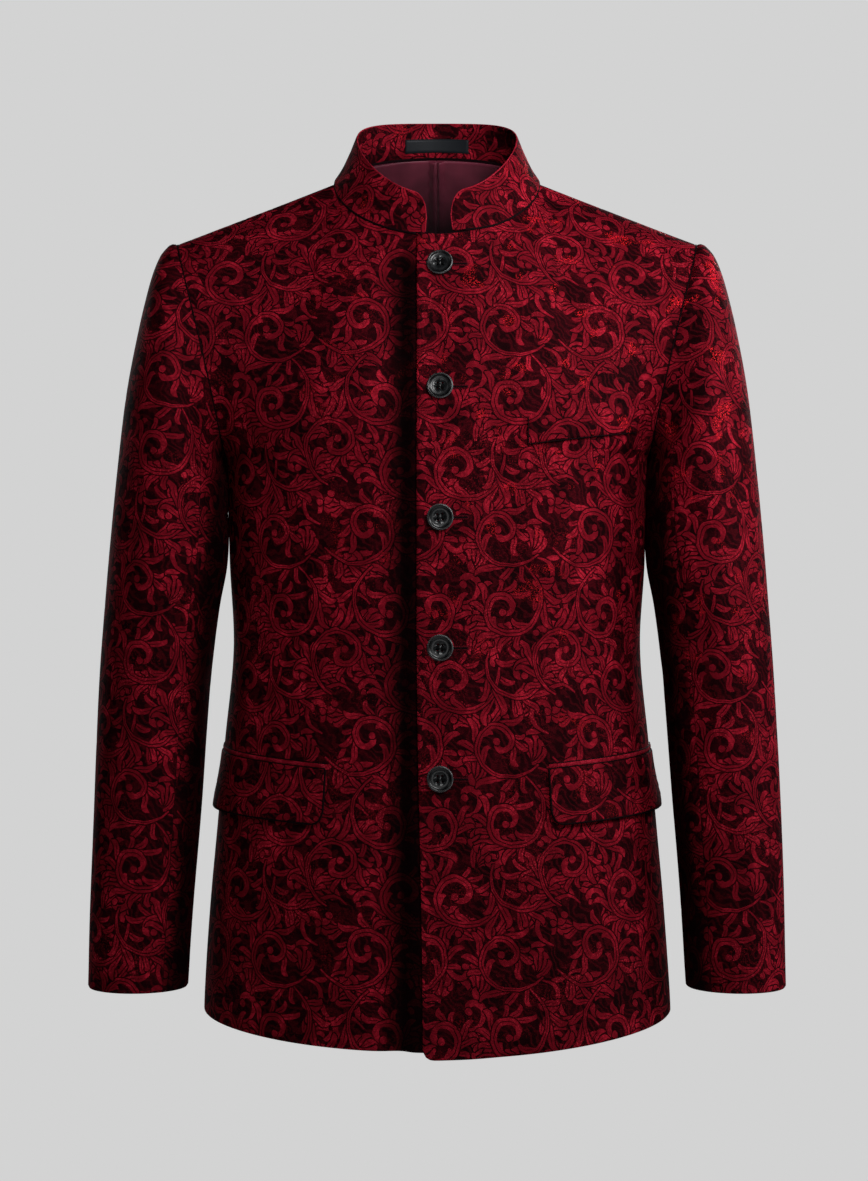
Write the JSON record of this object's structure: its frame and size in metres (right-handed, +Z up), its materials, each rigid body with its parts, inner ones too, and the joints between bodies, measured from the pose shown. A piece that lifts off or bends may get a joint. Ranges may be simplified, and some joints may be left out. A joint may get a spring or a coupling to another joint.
{
  "type": "nehru jacket",
  "caption": "Hip-length tailored velvet jacket with a standing band collar, button front, chest welt pocket and two flap pockets, filled out as worn.",
  "frame": {"origin": "middle of the neck, level with the points where the shoulder seams meet the collar", "axes": "+Z up along the wearer, +X to the wearer's left, the jacket's front faces -Y"},
  "size_m": [0.5972, 0.2563, 0.8022],
  "materials": {
    "velvet": "velvet with a damask scroll",
    "lining": "satin",
    "button": "satin black",
    "label": "satin ribbon, blank"
  },
  "bodies": {
    "root": {"front_left": "velvet", "front_right": "velvet", "back_left": "velvet", "back_right": "velvet", "sleeve_top_left": "velvet", "sleeve_under_left": "velvet", "sleeve_top_right": "velvet", "sleeve_under_right": "velvet", "collar": "velvet", "pocket_flap_left": "velvet", "pocket_flap_right": "velvet", "pocket_jet_left": "velvet", "pocket_jet_right": "velvet", "chest_welt": "velvet", "lining_back": "lining", "label": "label", "button_1": "button", "button_2": "button", "button_3": "button", "button_4": "button", "button_5": "button"}
  },
  "joints": []
}
